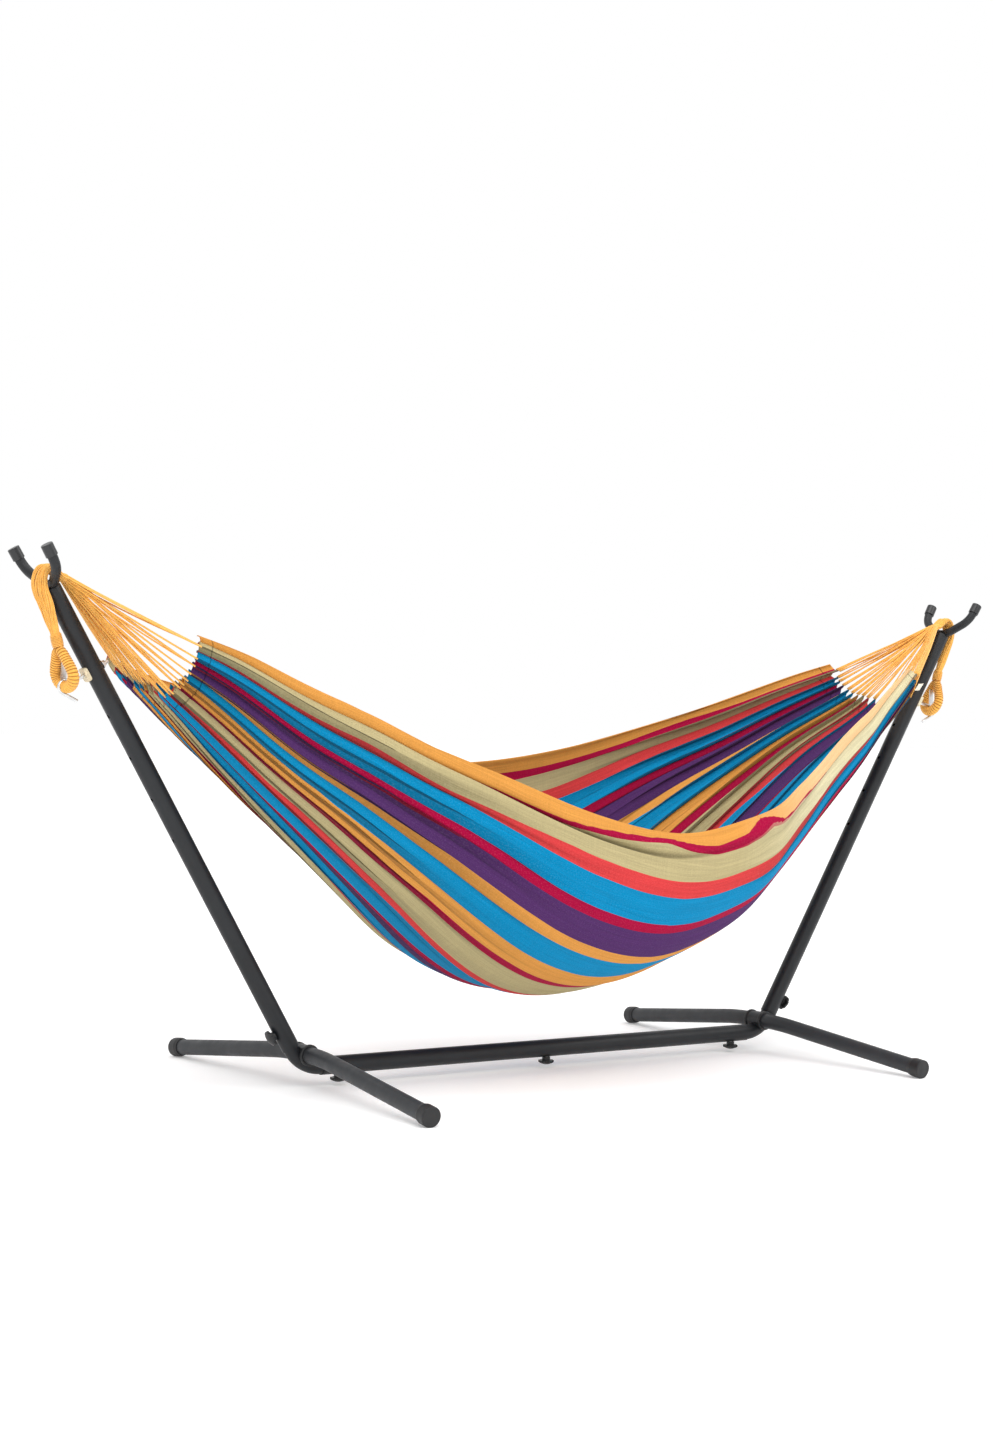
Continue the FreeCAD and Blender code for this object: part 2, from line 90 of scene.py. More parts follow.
class Shader:
    """One material around a Principled BSDF. add() makes a node and feeds its inputs."""

    def __init__(self, name, **constants):
        self.material = bpy.data.materials.new(name)
        self.material.use_nodes = True
        self.tree = self.material.node_tree
        self.bsdf = self.tree.nodes["Principled BSDF"]
        for socket, value in constants.items():
            self.bsdf.inputs[socket.replace("_", " ")].default_value = value

    def feed(self, socket, value):
        if isinstance(value, bpy.types.NodeSocket):
            self.tree.links.new(value, socket)
        else:
            socket.default_value = value

    def add(self, kind, inputs=(), output=0, **settings):
        node = self.tree.nodes.new("ShaderNode" + kind)
        for key, value in settings.items():
            setattr(node, key, value)
        for key, value in dict(inputs).items():
            self.feed(node.inputs[key], value)
        return node.outputs[output]

    def math(self, operation, *values):
        return self.add("Math", dict(enumerate(values)), operation=operation)

    def place(self, scale=(1, 1, 1), attribute=None):
        """Rest position in metres, or a stored vector of the mesh, stretched by scale."""
        if attribute:
            source = self.add("Attribute", output="Vector", attribute_name=attribute)
        else:
            source = self.add("TexCoord", output="Object")
        return self.add("VectorMath", {0: source, 1: scale}, operation="MULTIPLY")

    def noise(self, where, scale, detail=2.0, roughness=0.5):
        return self.add("TexNoise", {"Vector": where, "Scale": scale,
                                     "Detail": detail, "Roughness": roughness})

    def span(self, value, low, high, floor=0.0, top=1.0):
        """value going from floor to top mapped to low to high."""
        return self.add("MapRange", {"Value": value, "From Min": floor, "From Max": top,
                                     "To Min": low, "To Max": high})

    def shade(self, colour, factor):
        """colour times a grey factor."""
        return self.add("VectorMath", {0: colour, 3: factor}, operation="SCALE")

    def mix(self, factor, first, second):
        return self.add("Mix", {0: factor, 6: first, 7: second}, output=2, data_type="RGBA")

    def bump(self, height, strength, distance, normal=None):
        inputs = {"Height": height, "Strength": strength, "Distance": distance}
        if normal is not None:
            inputs["Normal"] = normal
        return self.add("Bump", inputs)

    def finish(self, colour=None, roughness=None, normal=None):
        for socket, value in (("Base Color", colour), ("Roughness", roughness), ("Normal", normal)):
            if value is not None:
                self.feed(self.bsdf.inputs[socket], value)
        return self.material


WORN_LIGHTER = 2.2              # how many times lighter the coat is where it is rubbed


def coated_metal(name, colour, roughness):
    """Powder coat: fine orange peel, faint cloudiness, and rubbed patches, lighter and duller."""
    s = Shader(name, Specular_IOR_Level=0.35)
    where = s.place()
    cloud = s.noise(where, 9.0, 3.0)
    grain = s.noise(where, 1400.0, 1.0)
    peel = s.noise(where, 420.0, 2.0)
    rub = s.noise(where, 34.0, 4.0, 0.6)
    tone = s.math("MULTIPLY", s.span(cloud, 0.86, 1.14, 0.3, 0.7),
                  s.span(grain, 0.88, 1.12, 0.25, 0.75))
    rubbed = (*(min(1, WORN_LIGHTER * c) for c in colour[:3]), 1)
    coat = s.mix(s.span(rub, 0.0, 0.16, 0.56, 0.74), colour, rubbed)
    dullness = s.span(rub, roughness - 0.07, roughness + 0.10, 0.3, 0.7)
    normal = s.bump(peel, 0.22, 0.0006, s.bump(grain, 0.10, 0.0002))
    return s.finish(s.shade(coat, tone), dullness, normal)


def moulded(name, colour, low, high, grain_scale=900.0, depth=0.0002, specular=0.5):
    """Moulded plastic or rubber, with a fine eroded texture and light scuffs.

    low and high are the roughness between the scuffs and on them.
    """
    s = Shader(name, Specular_IOR_Level=specular)
    where = s.place()
    grain = s.noise(where, grain_scale, 2.0)
    scuff = s.noise(s.place((1, 1, 0.3)), 60.0, 5.0, 0.65)
    tone = s.math("MULTIPLY", s.span(grain, 0.85, 1.15, 0.3, 0.7),
                  s.span(scuff, 0.9, 1.2, 0.35, 0.75))
    roughness = s.span(scuff, low, high, 0.3, 0.7)
    return s.finish(s.shade(colour[:3], tone), roughness, s.bump(grain, 0.25, depth))


def plated(name):
    """Bright zinc plate: drawn streaks and a slightly clouded shine."""
    s = Shader(name, Metallic=1.0)
    streak = s.noise(s.place((1, 1, 14)), 160.0, 3.0)
    cloud = s.noise(s.place(), 55.0, 3.0)
    colour = s.mix(s.span(cloud, 0, 1, 0.3, 0.7), (0.58, 0.59, 0.60, 1), (0.74, 0.74, 0.73, 1))
    return s.finish(colour, s.span(streak, 0.24, 0.46, 0.3, 0.7), s.bump(streak, 0.10, 0.0002))


def twisted_cotton(name, colour, groove_shade, pitch, strands=3):
    """Cord: strands run round it in a helix, one turn in each pitch, with painted shade in the
    grooves between them.

    The stored vector is (metres along, turn around, 0).
    """
    s = Shader(name, Roughness=0.88, Sheen_Weight=0.35, Sheen_Roughness=0.45,
               Specular_IOR_Level=0.2)
    along = s.add("SeparateXYZ", {0: s.place(attribute="lay")}, output=0)
    around = s.add("SeparateXYZ", {0: s.place(attribute="lay")}, output=1)
    turn = s.math("ADD", s.math("MULTIPLY", along, strands / pitch),
                  s.math("MULTIPLY", around, float(strands)))
    ridge = s.math("ABSOLUTE", s.math("SINE", s.math("MULTIPLY", turn, math.pi)))
    fibre = s.noise(s.place(), 1500.0, 3.0, 0.6)
    slub = s.noise(s.place(), 70.0, 3.0)
    # painted shade: the colour turns darker in the grooves between the strands
    groove_shaded = s.mix(s.span(ridge, 0, 1, 0.05, 0.75), groove_shade, colour)
    tone = s.math("MULTIPLY", s.span(fibre, 0.84, 1.16, 0.3, 0.7),
                  s.span(slub, 0.90, 1.10, 0.3, 0.7))
    normal = s.bump(fibre, 0.25, 0.0004, s.bump(ridge, 0.5, 0.0007))
    return s.finish(s.shade(groove_shaded, tone), None, normal)


ORANGE = srgb(208, 144, 68)
PEACH = srgb(232, 190, 142)
OLIVE = srgb(174, 161, 119)
PALE_OLIVE = srgb(206, 198, 162)
CORAL = srgb(202, 60, 62)
BLUE = srgb(0, 128, 176)
CRIMSON = srgb(158, 4, 56)
PURPLE = srgb(76, 42, 94)
CLOTH_WIDTH = 1.5               # cut width, metres
CLOTH_LENGTH = 2.5              # cut length, along the warp
# the stripes from the front edge to the back edge: colour, and metres across where each ends
STRIPES = (
    (ORANGE, 0.046), (CRIMSON, 0.066), (OLIVE, 0.119), (CORAL, 0.154), (BLUE, 0.223),
    (CRIMSON, 0.251), (PURPLE, 0.320), (ORANGE, 0.353), (BLUE, 0.435), (ORANGE, 0.503),
    (CRIMSON, 0.532), (OLIVE, 0.627), (CORAL, 0.660), (BLUE, 0.729), (CRIMSON, 0.760),
    (PURPLE, 0.805), (BLUE, 0.860), (CORAL, 0.888), (OLIVE, 0.968), (CRIMSON, 0.997),
    (ORANGE, 1.065), (BLUE, 1.147), (ORANGE, 1.180), (PURPLE, 1.249), (CRIMSON, 1.277),
    (BLUE, 1.346), (CORAL, 1.381), (OLIVE, 1.434), (CRIMSON, 1.454), (ORANGE, 1.500),
)
SELVEDGE = STRIPES[0][1]
SEAM, SEAM_HALF_WIDTH = 0.036, 0.0016   # the cross seam: metres from each end, and its half-width
SEAM_TONE = 0.5                 # of the cloth's own colour, on the seam
PALER_ALONG = (1.42, 1.80)      # metres along, where the front selvedge and first olive turn pale
PALER_BY = 0.85                    # how far they turn pale
FOLD_SHADOW = 0.72              # painted shade at the bottom of the tightest folds
YARN = (0.78, 0.74, 0.62, 1)    # undyed thread that shows in the slubs
WARP_LINES, WEFT_LINES = 260.0, 230.0   # wave scale of the threads along and across


def woven_stripes(name):
    """Striped cotton.

    The stored vector is (metres along the warp, metres across the cut, painted fold shade).
    """
    s = Shader(name, Sheen_Weight=0.02, Sheen_Roughness=0.5, Specular_IOR_Level=0.06)
    parts = {"Vector": s.place(attribute="cut")}
    along = s.add("SeparateXYZ", parts, output=0)
    across = s.add("SeparateXYZ", parts, output=1)
    wander = s.noise(s.place((6, 60, 1), "cut"), 1.0, 2.0)
    shifted = s.math("ADD", across, s.span(wander, -0.0012, 0.0012, 0.3, 0.7))
    node = s.tree.nodes.new("ShaderNodeValToRGB")
    ramp = node.color_ramp
    ramp.interpolation = "CONSTANT"
    ramp.elements[0].color = STRIPES[0][0]
    ramp.elements.remove(ramp.elements[1])
    for (_, start), (colour, _) in zip(STRIPES, STRIPES[1:]):
        ramp.elements.new(start / CLOTH_WIDTH).color = colour
    s.feed(node.inputs[0], s.math("DIVIDE", shifted, CLOTH_WIDTH))
    warp = s.noise(s.place((9, 1100, 1), "cut"), 1.0, 2.0)
    warp_wide = s.noise(s.place((4, 190, 1), "cut"), 1.0, 2.0)
    weft = s.noise(s.place((1300, 16, 1), "cut"), 1.0, 2.0)
    slub = s.noise(s.place((260, 700, 1), "cut"), 1.0, 3.0, 0.6)
    tone = s.span(warp, 0.88, 1.12, 0.3, 0.7)
    for part, low, high in ((warp_wide, 0.93, 1.07), (weft, 0.93, 1.07), (slub, 0.90, 1.10)):
        tone = s.math("MULTIPLY", tone, s.span(part, low, high, 0.3, 0.7))
    # paler along one stretch of the front edge: the selvedge turns peach and the first olive turns
    # pale
    paler = s.span(along, 0.0, PALER_BY, *PALER_ALONG)
    in_olive = s.math("MULTIPLY", s.math("GREATER_THAN", shifted, STRIPES[1][1]),
                      s.math("LESS_THAN", shifted, STRIPES[2][1]))
    striped = s.mix(s.math("MULTIPLY", paler, in_olive), node.outputs[0], PALE_OLIVE)
    in_selvedge = s.math("MULTIPLY", paler, s.math("LESS_THAN", shifted, SELVEDGE))
    striped = s.mix(in_selvedge, striped, PEACH)
    from_end = s.math("MINIMUM", along, s.math("SUBTRACT", CLOTH_LENGTH, along))
    seam = s.math("LESS_THAN", s.math("ABSOLUTE", s.math("SUBTRACT", from_end, SEAM)),
                  SEAM_HALF_WIDTH)
    # painted shade from the folds darkens the stripes' colour
    fold_shade = s.add("SeparateXYZ", parts, output=2)
    shadow = s.math("SUBTRACT", 1.0, s.math("MULTIPLY", fold_shade, FOLD_SHADOW))
    sewn_and_shaded = s.shade(striped, s.math("MULTIPLY", shadow, s.span(seam, 1.0, SEAM_TONE)))
    fleck = s.mix(s.span(slub, 0.0, 0.04, 0.50, 0.75), s.shade(sewn_and_shaded, tone), YARN)
    threads = [s.add("TexWave", {"Vector": s.place((1, 1, 0), "cut"), "Scale": lines,
                                 "Distortion": 0.4},
                     output=1, wave_type="BANDS", bands_direction=direction)
               for lines, direction in ((WEFT_LINES, "X"), (WARP_LINES, "Y"))]
    weave = s.math("ADD", s.math("MULTIPLY", *threads), s.math("MULTIPLY", slub, 0.8))
    normal = s.bump(weave, 0.5, 0.0004, s.bump(warp_wide, 0.35, 0.0012))
    normal = s.bump(seam, 0.6, -0.0012, normal)
    return s.finish(fleck, s.span(slub, 0.80, 0.95, 0.3, 0.7), normal)


# ------------------------------------------------------------------ mesh helpers
def make_piece(name, points, faces, material, vectors=None):
    """A smooth mesh object. vectors is (attribute name, one 3-vector per point)."""
    mesh = bpy.data.meshes.new(name)
    mesh.from_pydata([tuple(p) for p in points], [], [tuple(f) for f in faces])
    mesh.validate()
    mesh.polygons.foreach_set("use_smooth", [True] * len(mesh.polygons))
    if vectors:
        attribute = mesh.attributes.new(vectors[0], "FLOAT_VECTOR", "POINT")
        attribute.data.foreach_set("vector", np.asarray(vectors[1], np.float32).ravel())
    mesh.materials.append(material)
    piece = bpy.data.objects.new(name, mesh)
    bpy.context.scene.collection.objects.link(piece)
    return piece


def catmull(points, per_span, closed=False):
    """A smooth line through the points."""
    p = np.asarray(points, float)
    if closed:
        p = np.vstack([p[-1], p, p[:2]])
    else:
        p = np.vstack([2 * p[0] - p[1], p, 2 * p[-1] - p[-2]])
    out = []
    for a, b, c, d in zip(p, p[1:], p[2:], p[3:]):
        for t in np.arange(per_span) / per_span:
            out.append(0.5 * (2 * b + (c - a) * t + (2 * a - 5 * b + 4 * c - d) * t * t
                              + (3 * b - a - 3 * c + d) * t ** 3))
    if not closed:
        out.append(p[-2])
    return np.array(out)


def lengths_along(path):
    """Metres from the start to each point."""
    steps = np.linalg.norm(np.diff(path, axis=0), axis=1)
    return np.r_[0, np.cumsum(steps)]


def frames_along(path, first_side):
    """Unit tangents, and two normals carried along without twist."""
    tangent = np.gradient(path, axis=0)
    tangent /= np.linalg.norm(tangent, axis=1)[:, None]
    side = np.zeros_like(path)
    last = np.asarray(first_side, float)
    for i, t in enumerate(tangent):
        last = last - t * (last @ t)
        last /= np.linalg.norm(last)
        side[i] = last
    return tangent, side, np.cross(tangent, side)


def tube(path, radius, sides, first_side=(0, 1, 0), closed=False):
    """Points, faces and (metres along, turn around, 0) of a tube.

    radius may vary by ring and side.
    """
    path = np.asarray(path, float)
    if closed:
        padded = np.vstack([path[-1], path, path[0]])
        tangent, side, other = (v[1:-1] for v in frames_along(padded, first_side))
    else:
        tangent, side, other = frames_along(path, first_side)
    count = len(path)
    angle = np.linspace(0, 2 * math.pi, sides, endpoint=False)[None, :]
    radius = np.broadcast_to(radius, (count, sides))
    ring = side[:, None] * np.cos(angle)[..., None] + other[:, None] * np.sin(angle)[..., None]
    points = (path[:, None] + ring * radius[..., None]).reshape(-1, 3)
    lay = np.zeros((count, sides, 3))
    lay[..., 0] = lengths_along(path)[:, None]
    lay[..., 1] = np.arange(sides)[None, :] / sides
    faces = []
    for i in range(count if closed else count - 1):
        j = (i + 1) % count
        for k in range(sides):
            m = (k + 1) % sides
            faces.append((i * sides + k, i * sides + m, j * sides + m, j * sides + k))
    if not closed:
        faces.append(tuple(range(sides))[::-1])
        faces.append(tuple((count - 1) * sides + k for k in range(sides)))
    return points, faces, lay.reshape(-1, 3)


def joined(parts):
    """Several (points, faces, vectors) as one."""
    points, faces, vectors, base = [], [], [], 0
    for p, f, v in parts:
        points.append(p)
        vectors.append(v)
        faces += [tuple(i + base for i in face) for face in f]
        base += len(p)
    return np.vstack(points), faces, np.vstack(vectors)


def spline(knots, values, at):
    """Natural cubic spline through (knots, values), read at the given places."""
    x, y, at = (np.asarray(v, float) for v in (knots, values, at))
    gap = np.diff(x)
    slope = np.diff(y) / gap
    system = np.eye(len(x))
    right = np.zeros(len(x))
    for i in range(1, len(x) - 1):
        system[i, i - 1:i + 2] = gap[i - 1], 2 * (gap[i - 1] + gap[i]), gap[i]
        right[i] = 6 * (slope[i] - slope[i - 1])
    curve = np.linalg.solve(system, right)
    i = np.clip(np.searchsorted(x, at) - 1, 0, len(gap) - 1)
    a, b, h = x[i + 1] - at, at - x[i], gap[i]
    return (curve[i] * a ** 3 + curve[i + 1] * b ** 3) / (6 * h) \
        + (y[i] / h - curve[i] * h / 6) * a + (y[i + 1] / h - curve[i + 1] * h / 6) * b


def smoothstep(low, high, value):
    """Smooth rise from 0 at low to 1 at high."""
    t = np.clip((np.asarray(value, float) - low) / (high - low), 0, 1)
    return t * t * (3 - 2 * t)


# ------------------------------------------------------------------ hammock cloth
HALF_LENGTH = 1.1
# place along the hammock, half-width, height of the front edge
FRONT_EDGE = (
    (-1.1, 0.190, 1.012), (-1.0, 0.205, 0.979), (-0.9, 0.237, 0.933), (-0.8, 0.274, 0.887),
    (-0.7, 0.309, 0.8435), (-0.6, 0.347, 0.794), (-0.5, 0.397, 0.750), (-0.4, 0.445, 0.705),
    (-0.3, 0.490, 0.661), (-0.2, 0.500, 0.632), (0.0, 0.510, 0.602), (0.2, 0.500, 0.632),
    (0.3, 0.490, 0.661), (0.4, 0.445, 0.705), (0.5, 0.397, 0.750), (0.6, 0.347, 0.794),
    (0.7, 0.309, 0.8435), (0.8, 0.274, 0.890), (0.9, 0.237, 0.940), (1.0, 0.205, 0.985),
    (1.1, 0.152, 1.014),
)
# the same of the back edge
BACK_EDGE = (
    (-1.1, 0.190, 0.978), (-0.85, 0.291, 0.911), (-0.58, 0.325, 0.870), (-0.3, 0.445, 0.766),
    (0.0, 0.440, 0.735), (0.2, 0.420, 0.752), (0.4, 0.385, 0.792), (0.6, 0.330, 0.854),
    (0.8, 0.270, 0.918), (0.9, 0.245, 0.953), (1.0, 0.210, 0.990), (1.1, 0.176, 1.022),
)
# place along, y and height of the lowest line, degrees of arc of the front and back halves
HOLLOW = (
    (-1.1, -0.064, 0.893, 100.0, 69.0), (-0.85, 0.016, 0.685, 100.0, 86.0),
    (-0.58, 0.051, 0.463, 100.0, 97.0), (-0.3, 0.033, 0.247, 100.0, 103.0),
    (0.0, 0.012, 0.193, 100.0, 103.0), (0.3, -0.003, 0.300, 100.0, 103.0),
    (0.58, -0.080, 0.508, 101.0, 103.0), (0.85, -0.095, 0.740, 101.0, 103.0),
    (1.1, 0.018, 0.913, 100.0, 97.0),
)
# place along, and how the cloth is shared out: more to the back, more to the middle
SHARING = (
    (-1.1, -0.102, 0.028), (-0.85, -0.049, 0.025), (-0.58, -0.022, 0.005), (-0.3, 0.0, -0.005),
    (0.0, 0.010, 0.005), (0.3, 0.020, 0.0), (0.58, 0.024, -0.008), (0.85, 0.019, -0.007),
    (1.1, -0.045, -0.045),
)
# place of the end hem in front, at the bottom and at the back, less the half-length
HEM_PULL = {-1: (-0.018, 0.006, 0.018), 1: (-0.032, 0.0, 0.0)}
STATIONS, SAMPLES = 211, 401    # grid along and across
END_CROWDING = 0.32             # how much closer the stations stand towards the ends
CLOTH_THICKNESS = 0.0012
HEM_EXTRA, HEM_EDGE = 1.6, (0.010, 0.016)   # of the turned hem: extra thickness, where it ends
END_HEM = 0.40                  # scale of the distance from an end, so its hem is 2.5 times as wide
PLEATS = 20
PLEAT_SEEDS = {-1: 11, 1: 12}   # of the irregular pleats at each end
MOST_PLEATS = 64                # random values drawn for them
PLEATS_BEGIN, PLEATS_GROW = (0.12, 0.42), 0.45      # metres from the middle, and over which length
PLEATS_UNEVEN = (0.70, 1.25)    # range of their depths
PLEATS_LEFT = 0.18              # share of their depth that is left in the middle
CREST_LEVEL = 1.35              # about twice the mean crest, so pleats keep the section's level
PLEAT_LEAN = 0.16               # how far their sides lean, as a share of their width
HEM_TIP = 0.007                 # how far the cords pull each tip of the hem out
# share of the width where the pleats' valleys lie, front half; the back half mirrors them
VALLEYS = (0.040, 0.105, 0.150, 0.190, 0.245, 0.285, 0.325, 0.365, 0.410, 0.455)
# cloth that a fold under the front rim takes up in the left half, and where along that ends
RIM_FOLD, RIM_FOLD_END = 0.034, 0.047
# the folds along that rim: place across the cut, half-width, depth, place along where they end
RIM_FOLDS = ((0.048, 0.012, 0.016, 0.047), (0.143, 0.009, 0.007, -0.38))
# slow ripples in the slack middle: height, waves across the cloth, waves in a metre along, phase
RIPPLES = ((0.0030, 5.2, 0.35, 0.7), (0.0022, 9.1, -0.50, 2.1), (0.0012, 17.3, 0.9, 4.0))


def column(table, number, at):
    """One of a table's values at a place along the hammock."""
    rows = np.array(table)
    return spline(rows[:, 0], rows[:, number], at)


def pleat_phase(share, seed):
    """Phase of the pleats, in turns, at a share of the cut width. Each seed differs a little."""
    wobble = np.random.default_rng(seed).uniform(-0.006, 0.006, 2 * len(VALLEYS))
    places = np.r_[VALLEYS, [1 - v for v in VALLEYS[::-1]]] + wobble
    knots = np.r_[-0.01, np.sort(places), 1.01]
    turns = np.arange(len(knots)) + 0.0
    turns[0] += 0.35
    turns[-1] -= 0.35
    fine = np.linspace(-0.02, 1.02, 1041)
    phase = np.interp(fine, knots, turns)
    kernel = np.hanning(25)
    phase = np.convolve(np.pad(phase, 12, mode="edge"), kernel / kernel.sum(), mode="valid")
    return np.interp(share, fine, phase)


def section_line(x):
    """Cross-section of the hollow at x: y and z of points from the front to the back edge."""
    front, front_z = column(FRONT_EDGE, 1, x), column(FRONT_EDGE, 2, x)
    back, back_z = column(BACK_EDGE, 1, x), column(BACK_EDGE, 2, x)
    low_y, low_z, front_arc, back_arc = (column(HOLLOW, number, x) for number in (1, 2, 3, 4))
    part = np.linspace(-1, 1, 321)
    is_front = part < 0
    reach = np.where(is_front, front + low_y, back - low_y)
    rise = np.where(is_front, front_z, back_z) - low_z
    sweep = np.radians(np.where(is_front, front_arc, back_arc))
    return low_y + reach * np.sin(sweep * part) / np.sin(sweep), \
        low_z + rise * (1 - np.cos(sweep * part)) / (1 - np.cos(sweep))


def shared_out(x, cut):
    """Share of the cross-section's length at each place across the cut cloth."""
    tucked = RIM_FOLD / (1 + math.exp((x - RIM_FOLD_END) / 0.12))
    f = (cut - tucked * smoothstep(0.045, 0.095, cut)) / (CLOTH_WIDTH - tucked)
    to_back, to_middle = column(SHARING, 1, x), column(SHARING, 2, x)
    return f + to_back * np.sin(math.pi * f) + to_middle * np.sin(2 * math.pi * f)


def hem_tips(turns, share):
    """From -1 to 1, highest where the cords pull the hem out.

    That is on the outer crests in front, and on the inner ridges at the back.
    """
    return -np.cos(2 * math.pi * turns) * (1 - 2 * smoothstep(0.46, 0.54, share))


def pleats(x, share, gather):
    """Gathered folds, with valleys sharper than crests.

    Gives the outward rise, the sideways lean, the pull along, and the painted shade of the cloth
    on its inside and its outside.
    """
    seed = PLEAT_SEEDS[-1 if x < 0 else 1]
    rng = np.random.default_rng(seed + 20)
    drift = 0.0035 * np.sin(2 * math.pi * (1.6 * x + 2.3 * share) + seed)
    turns = pleat_phase(share + drift * (1 - smoothstep(0.7, 1.05, abs(x))), seed)
    depths = rng.uniform(*PLEATS_UNEVEN, MOST_PLEATS)
    starts = rng.uniform(*PLEATS_BEGIN, MOST_PLEATS)
    uneven = np.interp(turns, np.arange(MOST_PLEATS) + 0.5, depths)
    start = np.interp(turns, np.arange(MOST_PLEATS), starts)
    # the depth that makes a wave's line gather times as long as its base
    wave = CLOTH_WIDTH / PLEATS / gather
    depth = math.sqrt(4 * (gather - 1) + 2.4 * (gather - 1) ** 2) * wave / (2 * math.pi)
    t = np.clip((abs(x) - start) / PLEATS_GROW, 0, 1)
    fade = PLEATS_LEFT + (1 - PLEATS_LEFT) * t * t * (3 - 2 * t)
    calm = 0.5 + 0.5 * np.minimum(smoothstep(0, 0.02, share), smoothstep(0, 0.02, 1 - share))
    crest = np.sqrt(np.sin(math.pi * turns) ** 2 + 0.012) ** 0.8
    rise = depth * fade * uneven * calm * (2 * crest - CREST_LEVEL)
    lean = -PLEAT_LEAN * wave * fade * np.sin(4 * math.pi * turns)
    pull = smoothstep(0.90, 1.1, abs(x)) * (HEM_TIP * hem_tips(turns, share) * uneven ** 2 - 0.001)
    edge = np.minimum(share, 1 - share) * CLOTH_WIDTH
    # painted shade: pleat valleys and the sides facing down are darkened in the colour, away from
    # the edges
    shade_reach = smoothstep(start - 0.05, start + 0.35, abs(x)) * smoothstep(0.045, 0.075, edge)
    underside_shade = np.maximum(0, -np.sin(2 * math.pi * turns))
    painted_shade = (shade_reach * np.clip(smoothstep(0.90, 1.0, crest) + 0.10 * underside_shade, 0, 1),
                 shade_reach * np.clip(1 - smoothstep(0.10, 0.70, crest) + 0.55 * underside_shade, 0, 1))
    return rise, lean, pull, painted_shade


def bed_surface(x, share):
    """The cloth's middle surface, a grid of points, and the painted shade of its two sides."""
    cut = share * CLOTH_WIDTH
    grid = np.zeros((len(x), len(share), 3))
    painted_shade = np.zeros((2,) + grid.shape[:2])
    for i, place in enumerate(x):
        y, z = section_line(place)
        arc = np.r_[0, np.cumsum(np.hypot(np.diff(y), np.diff(z)))]
        step = np.gradient(np.stack([y, z]), axis=1)
        step /= np.linalg.norm(step, axis=0)
        spot = shared_out(place, cut) * arc[-1]
        along_y, along_z = np.interp(spot, arc, step[0]), np.interp(spot, arc, step[1])
        rise, lean, pull, painted_shade[:, i] = pleats(place, share, max(CLOTH_WIDTH / arc[-1], 1.0))
        slack = 1 - 0.75 * smoothstep(0.3, 1.0, abs(place))
        ripple = slack * sum(
            height * np.sin(2 * math.pi * (across * share + along * place) + phase)
            for height, across, along, phase in RIPPLES)
        ripple = ripple * smoothstep(0, 0.03, share) * smoothstep(0, 0.03, 1 - share)
        near_end = 1 - 0.6 * smoothstep(0.8, 1.08, -place)
        fold = 0
        for middle, half_width, depth, end in RIM_FOLDS:
            left = near_end / (1 + math.exp((place - end) / 0.10))
            fold = fold - depth * left * np.exp(-((cut - middle) / half_width) ** 2)
            # painted shade inside each rim fold
            rim_fold_shade = left * np.exp(-((cut - middle) / (0.65 * half_width)) ** 2)
            painted_shade[1, i] = np.maximum(painted_shade[1, i], rim_fold_shade)
        out = rise + ripple + fold
        grid[i, :, 1] = np.interp(spot, arc, y) + out * along_z + lean * along_y
        grid[i, :, 2] = np.interp(spot, arc, z) - out * along_y + lean * along_z
        sign = math.copysign(1, place)
        hem = np.interp(share, (0, 0.5, 1), HEM_PULL[int(sign)])
        grid[i, :, 0] = place + sign * (pull + hem * smoothstep(0.80, 1.1, abs(place)))
    return grid, painted_shade


def grid_normals(grid):
    """Unit normals, towards the inside of the bed."""
    du = np.gradient(grid, axis=0)
    dv = np.gradient(grid, axis=1)
    normal = np.cross(du, dv)
    return normal / np.linalg.norm(normal, axis=2)[..., None]


def sheet_mesh(grid, thickness, inner, outer):
    """A closed thin sheet around the grid.

    thickness is per point; inner and outer are the stored vectors of its two sides.
    """
    rows, columns = grid.shape[:2]
    normal = grid_normals(grid) * (thickness / 2)[..., None]
    points = np.vstack([(grid + normal).reshape(-1, 3), (grid - normal).reshape(-1, 3)])
    count = rows * columns
    index = np.arange(count).reshape(rows, columns)
    a, b = index[:-1, :-1].ravel(), index[1:, :-1].ravel()
    c, d = index[1:, 1:].ravel(), index[:-1, 1:].ravel()
    faces = list(zip(a, b, c, d)) + list(zip(d + count, c + count, b + count, a + count))
    loop = np.r_[index[:, 0], index[-1, 1:], index[-2::-1, -1], index[0, -2:0:-1]]
    for first, second in zip(loop, np.roll(loop, -1)):
        faces.append((int(second), int(first), int(first) + count, int(second) + count))
    vectors = np.vstack([inner.reshape(-1, 3), outer.reshape(-1, 3)])
    return points, [tuple(int(i) for i in face) for face in faces], vectors


# place along, and where the first three stripes seem to end as the front edge twists
RIM_COLOURS = (
    (-1.2, 0.036, 0.054, 0.132), (-0.55, 0.036, 0.054, 0.132), (-0.40, 0.036, 0.050, 0.124),
    (-0.32, 0.034, 0.036, 0.119), (-0.22, 0.026, 0.027, 0.119), (-0.05, 0.016, 0.017, 0.119),
    (0.03, 0.026, 0.032, 0.119), (0.10, 0.033, 0.053, 0.119), (0.19, 0.028, 0.056, 0.119),
    (0.235, 0.006, 0.044, 0.119), (0.27, 0.014, 0.026, 0.119), (0.32, 0.036, 0.037, 0.119),
    (0.60, 0.046, 0.047, 0.119), (1.2, 0.052, 0.053, 0.119),
)


def selvedge_colours(x, cut):
    """Metres across the cut, bent so that the stripes at the front edge widen and narrow."""
    places = np.array(RIM_COLOURS).T
    ends = [np.interp(x, places[0], places[number]) for number in (1, 2, 3)]
    stripe_ends = [STRIPES[number][1] for number in (0, 1, 2, 3)]
    return np.interp(cut, [0, *ends, stripe_ends[3], CLOTH_WIDTH], [0, *stripe_ends, CLOTH_WIDTH])


